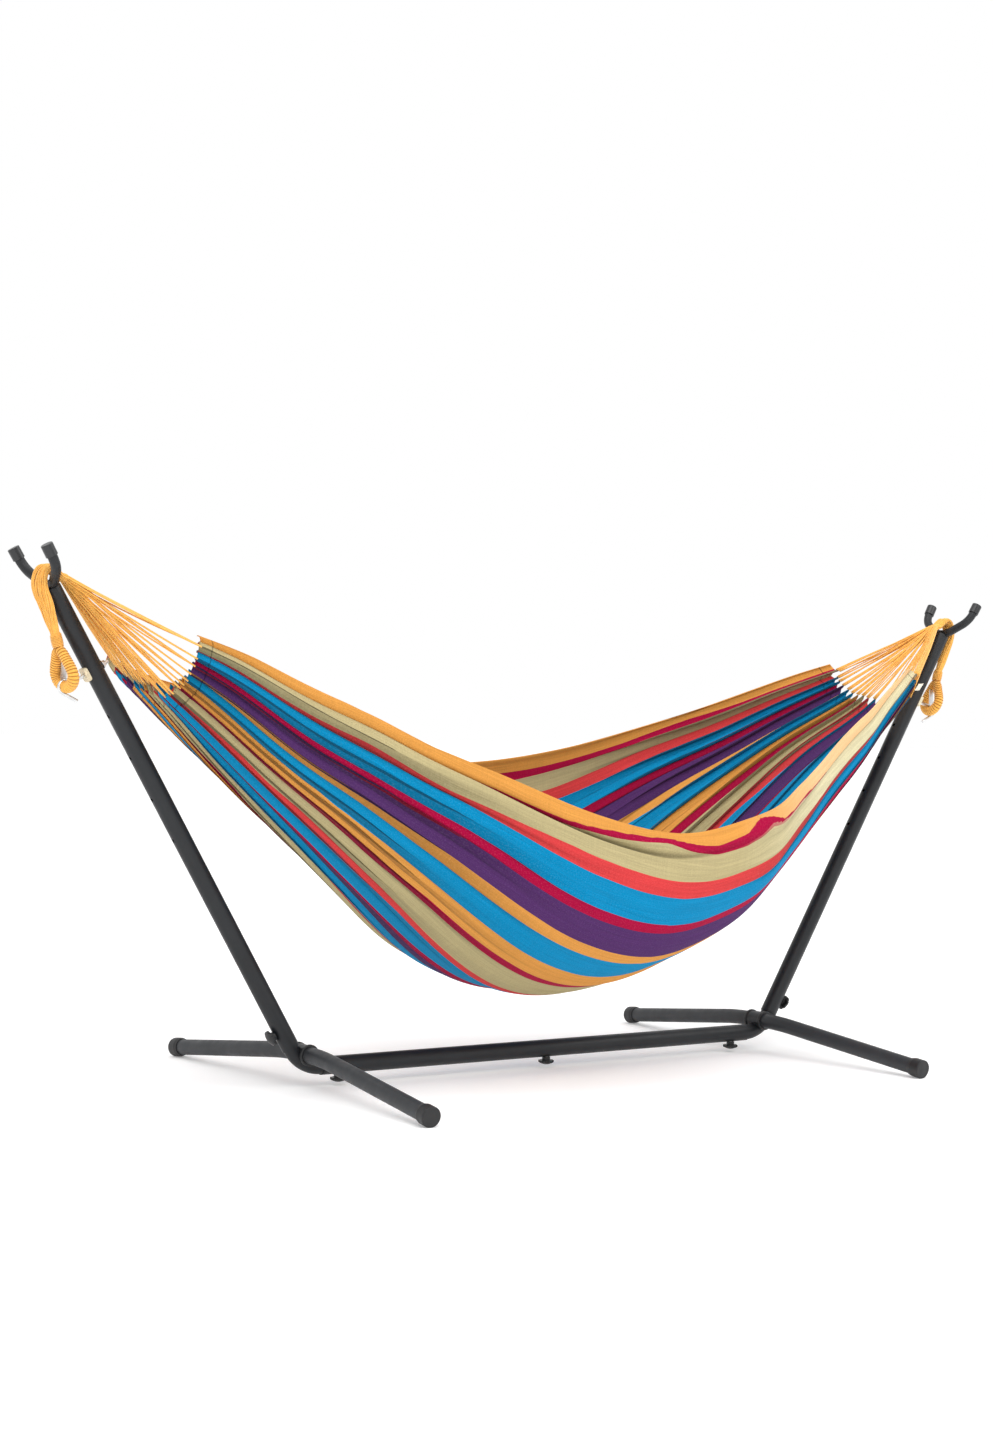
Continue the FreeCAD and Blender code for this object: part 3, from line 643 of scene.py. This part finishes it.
def make_cloth():
    spread = np.linspace(-1, 1, STATIONS)
    x = HALF_LENGTH * ((1 + END_CROWDING) * spread - END_CROWDING * spread ** 3)
    share = np.linspace(0, 1, SAMPLES)
    grid, painted_shade = bed_surface(x, share)
    from_end = (HALF_LENGTH - np.abs(x))[:, None] * END_HEM
    from_hem = np.minimum(from_end, np.minimum(share, 1 - share)[None, :] * CLOTH_WIDTH)
    thickness = CLOTH_THICKNESS * (1 + HEM_EXTRA * (1 - smoothstep(*HEM_EDGE, from_hem)))
    cut = np.zeros(grid.shape)
    middle = grid[:, SAMPLES // 2]
    cut[..., 0] = lengths_along(middle)[:, None] * CLOTH_LENGTH / lengths_along(middle)[-1]
    cut[..., 1] = [selvedge_colours(place, share * CLOTH_WIDTH) for place in x]
    inner, outer = cut.copy(), cut.copy()
    # the third stored number of each side is its painted shade
    inner[..., 2], outer[..., 2] = painted_shade
    points, faces, vectors = sheet_mesh(grid, thickness, inner, outer)
    cloth = make_piece("striped_cloth", points, faces, woven_stripes("striped_cotton"),
                       ("cut", vectors))
    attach(cloth, "hammock")
    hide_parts("bed_cloth")


# ------------------------------------------------------------------ cords, rope, rings
# X and Z of the bundle's line over the fork and down to the whipping
BUNDLE_LINE = (
    (1.307, 1.131), (1.320, 1.1335), (1.334, 1.1435), (1.3475, 1.1495), (1.3605, 1.1405),
    (1.3685, 1.120), (1.3665, 1.098), (1.3585, 1.0755), (1.3455, 1.044), (1.3330, 1.0155),
    (1.3290, 1.007),
)
WHIPPING_TOP = (1.329, 1.007)   # X and Z of its upper end
RING_BOTTOM = (1.299, 0.899)    # X and Z of the ring's lowest point
WHIPPING_LENGTH, WHIPPING_LAP = 0.022, 0.006    # and how much further its turns run
WHIPPING_TURNS, WHIPPING_WIRE = 8.5, 0.00135    # number of turns, radius of the cord
WHIPPING_RADIUS, WHIPPING_CORE = 0.0112, 0.0108
CORD_RADIUS = 0.0018
CORD_SPACING = (0.0041, 0.0014)     # between the cords of one pleat, across and up
CORD_TUCK = 0.003               # how far a cord's start lies inside the hem
CORD_DROOP = 0.005              # most that a cord of the fan sags
BUNDLE_RADIUS = {"left": 0.0140, "right": 0.0125}
# along the bundle: how far it spreads across and how thick it is, as shares of its radius
BUNDLE_AT = (0.0, 0.12, 0.28, 0.45, 0.68, 0.86, 1.0)
BUNDLE_SHAPE = {
    "left": ((1.5, 1.7, 2.0, 1.9, 1.7, 1.1, 0.62), (0.7, 0.7, 0.75, 0.75, 0.75, 0.75, 0.62)),
    "right": ((1.5, 1.7, 2.0, 1.6, 1.3, 1.0, 0.70), (0.7, 0.7, 0.75, 0.75, 0.75, 0.75, 0.70)),
}
CROTCH_R = 0.045                # of the fork's bend, where the bundle lies in it
STRANDS, CORNER_STRANDS = 3, 5  # cords at each pleat, and at each corner of the cloth
CORD_SEEDS = {"left": 31, "right": 32}
# how far each end's rope lies towards the front, at the shoulder, whipping and ring
ROPE_FORWARD = {"left": (0.020, 0.012, 0.010), "right": (0.0, 0.0, 0.0)}


def packed_slots(count, radius):
    """Places in a disc, close-packed like cords in a rope."""
    golden = math.pi * (3 - math.sqrt(5))
    k = np.arange(count) + 0.5
    return radius * np.sqrt(k / count), k * golden


def bundle_path(end, sign):
    """The middle line of the rope over the fork, down to the whipping."""
    shoulder, neck, _ = ROPE_FORWARD[end]
    forward = np.interp(np.arange(len(BUNDLE_LINE)), [0, 4, 7, 10],
                        [0, 0.3 * shoulder, shoulder, neck])
    controls = [(sign * px, -f, pz) for (px, pz), f in zip(BUNDLE_LINE, forward)]
    return catmull(controls, 6)


def make_cords(end, sign, hem_points):
    """The fan of grouped cords from the hem, which gather over the fork into a rope."""
    line = bundle_path(end, sign)
    _, side, other = frames_along(line, (0, 1, 0))
    along = lengths_along(line)
    part = along / along[-1]
    starts = []
    for index, hem in enumerate(hem_points):
        strands = CORNER_STRANDS if index in (0, len(hem_points) - 1) else STRANDS
        for strand in range(strands):
            apart = strand - (strands - 1) / 2
            shift = [-sign * CORD_TUCK, apart * CORD_SPACING[0], apart * CORD_SPACING[1]]
            starts.append((np.array(hem) + np.array(shift), apart))
    radius, angle = packed_slots(len(starts), BUNDLE_RADIUS[end] - CORD_RADIUS)
    slots = sorted(range(len(starts)), key=lambda k: radius[k] * math.cos(angle[k]))
    order = np.argsort(np.argsort([start[1] for start, _ in starts]))
    rng = np.random.default_rng(CORD_SEEDS[end])
    parts = []
    for index, (start, apart) in enumerate(starts):
        slot = slots[order[index]]
        turn = angle[slot] + 1.1 * part + 0.10 * np.sin(14 * part + slot)
        wide, thick = (np.interp(part, BUNDLE_AT, shape) for shape in BUNDLE_SHAPE[end])
        offset = side * (radius[slot] * np.cos(turn) * wide)[:, None] \
            + other * (radius[slot] * np.sin(turn) * thick)[:, None]
        rise = offset[:, 1] ** 2 / (2 * CROTCH_R) * np.exp(-((part - 0.28) / 0.16) ** 2)
        strand = line + offset + rise[:, None] * np.array([0, 0, 1])
        droop = rng.uniform(0.000, CORD_DROOP)
        fan = np.array([start + (strand[0] - start) * t + np.array([0, 0, -droop * 4 * t * (1 - t)])
                        + np.array([0, apart * 0.002 * math.sin(math.pi * t), 0])
                        for t in np.linspace(0, 1, 15)[:-1]])
        parts.append(tube(np.vstack([fan, strand]), CORD_RADIUS * rng.uniform(0.92, 1.1), 7))
    points, faces, lay = joined(parts)
    cords = make_piece(end + "_end_cords", points, faces, MATERIALS["cord"], ("lay", lay))
    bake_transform(cords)
    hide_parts(end + "_end_strings", end + "_rope_bundle")


def rope_frame(end, sign):
    """Start of the whipping, bottom of the ring, hanging direction and across direction."""
    _, neck, ring = ROPE_FORWARD[end]
    top = np.array([sign * WHIPPING_TOP[0], -neck, WHIPPING_TOP[1]])
    bottom = np.array([sign * RING_BOTTOM[0], -ring, RING_BOTTOM[1]])
    hang = (bottom - top) / np.linalg.norm(bottom - top)
    across = np.array([0, 1, 0]) - hang * hang[1]
    across /= np.linalg.norm(across)
    return top, bottom, hang, across


def make_whipping(end, sign):
    """Tight turns of thinner cord round the neck, over the core of the rope."""
    top, _, hang, across = rope_frame(end, sign)
    front = np.cross(hang, across)
    length = WHIPPING_LENGTH + WHIPPING_LAP
    t = np.linspace(0, 1, 300)
    turn = 2 * math.pi * WHIPPING_TURNS * t
    swell = WHIPPING_RADIUS + 0.0008 * np.sin(math.pi * t)
    helix = top + hang * ((t - 0.12) * length)[:, None] \
        + across * (np.cos(turn) * swell)[:, None] + front * (np.sin(turn) * swell)[:, None]
    core = np.array([top + hang * (length * s - WHIPPING_LAP) for s in np.linspace(0, 1, 12)])
    parts = [tube(helix, WHIPPING_WIRE, 8, first_side=hang), tube(core, WHIPPING_CORE, 24)]
    points, faces, lay = joined(parts)
    piece = make_piece(end + "_whipping", points, faces, MATERIALS["cord"], ("lay", lay))
    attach(piece, "stand")
    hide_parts(end + "_rope_whipping")


# across and along the hang, from the whipping's lower end, of half of the ring's line
RING_HALF = ((0.0, 0.010), (0.0105, 0.0165), (0.0185, 0.031), (0.0265, 0.046),
             (0.0312, 0.0610), (0.0275, 0.0755), (0.0150, 0.0862), (0.0, 0.0901))
RING_TURN = math.radians(10)    # of the ring's plane about its hang
WINDING_PITCH = 0.0058          # between the turns wound round the ring
RING_RADIUS, RING_SWELL, WINDING_RIDGE = 0.0106, 0.0009, 0.0019


def make_ring(end, sign):
    """The loop that hangs on the hook, closely wound along its whole length."""
    top, _, hang, across = rope_frame(end, sign)
    start = top + hang * WHIPPING_LENGTH
    front = np.cross(hang, across)
    across = across * math.cos(RING_TURN) + front * math.sin(RING_TURN) * sign
    loop = list(RING_HALF) + [(-a, h) for a, h in RING_HALF[-2:0:-1]]
    controls = [start + across * a + hang * h for a, h in loop]
    path = catmull(controls, 24, closed=True)
    closed = np.vstack([path, path[0]])
    along = lengths_along(closed)
    total = along[-1]
    steps = 336
    at = np.linspace(0, total, steps, endpoint=False)
    path = np.stack([np.interp(at, along, closed[:, k]) for k in range(3)], axis=1)
    sides = 20
    windings = round(total / WINDING_PITCH)
    angle = np.linspace(0, 1, sides, endpoint=False)[None, :]
    wind = (at / total * windings)[:, None] + angle
    ridge = np.abs(np.sin(math.pi * wind)) ** 0.75
    body = RING_RADIUS + RING_SWELL * np.cos(2 * math.pi * (at / total - 0.5))[:, None]
    radius = body + WINDING_RIDGE * ridge
    points, faces, lay = tube(path, radius, sides, first_side=front, closed=True)
    piece = make_piece(end + "_wound_ring", points, faces, MATERIALS["winding"], ("lay", lay))
    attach(piece, "stand")
    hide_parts(end + "_rope_ring")


def hem_crests(sign):
    """Where the cords meet the end hem: outer crests in front, inner ridges at the back."""
    share = np.linspace(0.004, 0.996, 1600)
    grid, _ = bed_surface(np.array([sign * HALF_LENGTH]), share)
    tip = hem_tips(pleat_phase(share, PLEAT_SEEDS[sign]), share)
    picks = [i for i in range(1, len(share) - 1) if tip[i - 1] < tip[i] >= tip[i + 1]]
    return [grid[-1, i] for i in picks]


LABEL_WIDTH, LABEL_HEIGHT, LABEL_THICKNESS = 0.016, 0.024, 0.0007
LABEL_LEAN = math.atan2(0.0195, 0.0165)     # slope of the hem at the label
LABEL_CURL = 0.0028             # of its free edge
STITCH_LINE, STITCH_HALF_WIDTH = 0.0022, 0.0005     # from the label's end


def make_label():
    """A blank tab, stitched to the right end hem."""
    low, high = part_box("care_label")
    centre = (np.array(low) + np.array(high)) / 2
    rows, columns = 25, 17
    grid = np.zeros((rows, columns, 3))
    for i, s in enumerate(np.linspace(-0.5, 0.5, rows)):
        for j, t in enumerate(np.linspace(0, 1, columns)):
            curl = LABEL_CURL * t * t + 0.0006 * math.sin(9 * s)
            grid[i, j] = (LABEL_WIDTH * t - LABEL_WIDTH / 2,
                          -s * LABEL_HEIGHT * math.cos(LABEL_LEAN) - curl * math.sin(LABEL_LEAN),
                          s * LABEL_HEIGHT * math.sin(LABEL_LEAN) + curl * 0.4)
    grid += centre
    cut = np.zeros(grid.shape)
    cut[..., 0] = np.linspace(0, LABEL_HEIGHT, rows)[:, None]
    cut[..., 1] = np.linspace(0, LABEL_WIDTH, columns)[None, :]
    thickness = np.full(grid.shape[:2], LABEL_THICKNESS)
    points, faces, vectors = sheet_mesh(grid, thickness, cut, cut)
    piece = make_piece("label_tab", points, faces, MATERIALS["tape"], ("cut", vectors))
    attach(piece, "hammock")
    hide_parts("care_label")


def woven_tape(name):
    """Ribbed cotton tape, with a line of stitches near one end."""
    s = Shader(name, Roughness=0.85, Sheen_Weight=0.15)
    ribs = s.add("TexWave", {"Vector": s.place((1, 1, 0), "cut"), "Scale": 500.0}, output=1,
                 bands_direction="X")
    fibre = s.noise(s.place((900, 2500, 1), "cut"), 1.0, 2.0)
    edge = s.add("SeparateXYZ", {0: s.place(attribute="cut")}, output=0)
    from_line = s.math("ABSOLUTE", s.math("SUBTRACT", edge, STITCH_LINE))
    stitched = s.math("LESS_THAN", from_line, STITCH_HALF_WIDTH)
    colour = s.mix(stitched, srgb(238, 232, 216), srgb(206, 190, 160))
    tone = s.span(fibre, 0.92, 1.08, 0.3, 0.7)
    return s.finish(s.shade(colour, tone), None, s.bump(ribs, 0.4, 0.0002))


# ------------------------------------------------------------------ finishes of the CAD nodes
MATERIALS = {
    "paint": coated_metal("charcoal_powder_coat", srgb(28, 30, 33), 0.42),
    "leg_paint": coated_metal("leg_powder_coat", srgb(44, 46, 49), 0.46),
    "cap": moulded("fork_cap_rubber", srgb(20, 21, 24), 0.22, 0.40, 500.0, 0.0001, 0.6),
    "foot": moulded("foot_rubber", srgb(20, 20, 22), 0.42, 0.62),
    "collar": moulded("collar_plastic", srgb(22, 23, 25), 0.40, 0.58),
    "knob": moulded("knob_plastic", srgb(16, 17, 19), 0.36, 0.54, 1200.0, 0.0003),
    "zinc": plated("zinc_plate"),
    "cream": moulded("cream_moulding", srgb(214, 202, 172), 0.40, 0.60, 300.0, 0.0001),
    # the second colour of each cord is painted shade for the grooves between its strands or turns
    "cord": twisted_cotton("cord_cotton", srgb(242, 182, 88), srgb(224, 158, 68), 0.016),
    "winding": twisted_cotton("winding_cotton", srgb(240, 178, 82), srgb(150, 92, 26),
                              WINDING_PITCH, 1),
    "tape": woven_tape("label_tape"),
}
# part of a node's name and its finish; the first that fits counts
FINISH_OF = (
    ("fork_cap", "cap"), ("foot_cap", "foot"), ("leg_collar", "collar"), ("_leg", "leg_paint"),
    ("knob", "knob"), ("saddle", "cream"), ("stud", "zinc"), ("weld_nuts", "zinc"),
    ("hook", "zinc"), ("fork", "paint"), ("upright", "paint"), ("elbow", "paint"),
    ("base_tube", "paint"),
)


def finish_nodes():
    """Gives each CAD node its material."""
    for name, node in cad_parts.items():
        for pattern, finish in FINISH_OF:
            if pattern in name:
                for place in range(len(node.material_slots)):
                    node.material_slots[place].material = MATERIALS[finish]
                if not node.material_slots:
                    node.data.materials.append(MATERIALS[finish])
                break


# ------------------------------------------------------------------ studio
FLOOR_SIZE = 60.0               # half-width, metres
# name, place, what it points at, watts, width
AREA_LIGHTS = (
    ("key", (-2.6, -3.4, 3.6), (0, 0, 0.6), 50, 2.2),
    ("fill", (2.6, -2.8, 3.2), (0.4, 0.4, 0.7), 34, 2.4),
    ("top", (0.3, -0.6, 4.2), (0.2, 0.2, 0.5), 44, 3.0),
)
SUN_STRENGTH, SUN_SPREAD, SUN_TILT = 0.35, 50, (18, -14)    # the last two in degrees


def make_studio():
    """White floor and even light."""
    size = FLOOR_SIZE
    grey = Shader("studio_floor", Roughness=0.9, Emission_Color=(1, 1, 1, 1),
                  Emission_Strength=0.18)
    speck = grey.noise(grey.place(), 3.0, 3.0)
    colour = grey.shade((0.93, 0.93, 0.93), grey.span(speck, 0.99, 1.01, 0.3, 0.7))
    corners = [(-size, -size, 0), (size, -size, 0), (size, size, 0), (-size, size, 0)]
    floor = make_piece("studio_floor", corners, [(0, 1, 2, 3)], grey.finish(colour))
    world = bpy.data.worlds.new("studio")
    world.use_nodes = True
    world.node_tree.nodes["Background"].inputs[0].default_value = (1, 1, 1, 1)
    world.node_tree.nodes["Background"].inputs[1].default_value = 1.0
    bpy.context.scene.world = world
    for name, place, target, watts, width in AREA_LIGHTS:
        data = bpy.data.lights.new(name, "AREA")
        data.energy = watts
        data.size = width
        light = bpy.data.objects.new(name, data)
        light.location = place
        light.rotation_euler = (Vector(target) - Vector(place)).to_track_quat("-Z", "Y").to_euler()
        bpy.context.scene.collection.objects.link(light)
    data = bpy.data.lights.new("sky", "SUN")
    data.energy = SUN_STRENGTH
    data.angle = math.radians(SUN_SPREAD)
    light = bpy.data.objects.new("sky", data)
    light.rotation_euler = (*(math.radians(tilt) for tilt in SUN_TILT), 0)
    bpy.context.scene.collection.objects.link(light)
    bpy.context.scene.view_settings.view_transform = "Standard"


# ------------------------------------------------------------------ everything, in order
make_camera()
finish_nodes()
make_studio()
for end, sign in (("left", -1), ("right", 1)):
    make_cords(end, sign, hem_crests(sign))
    make_whipping(end, sign)
    make_ring(end, sign)
make_cloth()
make_label()

bpy.context.view_layer.update()
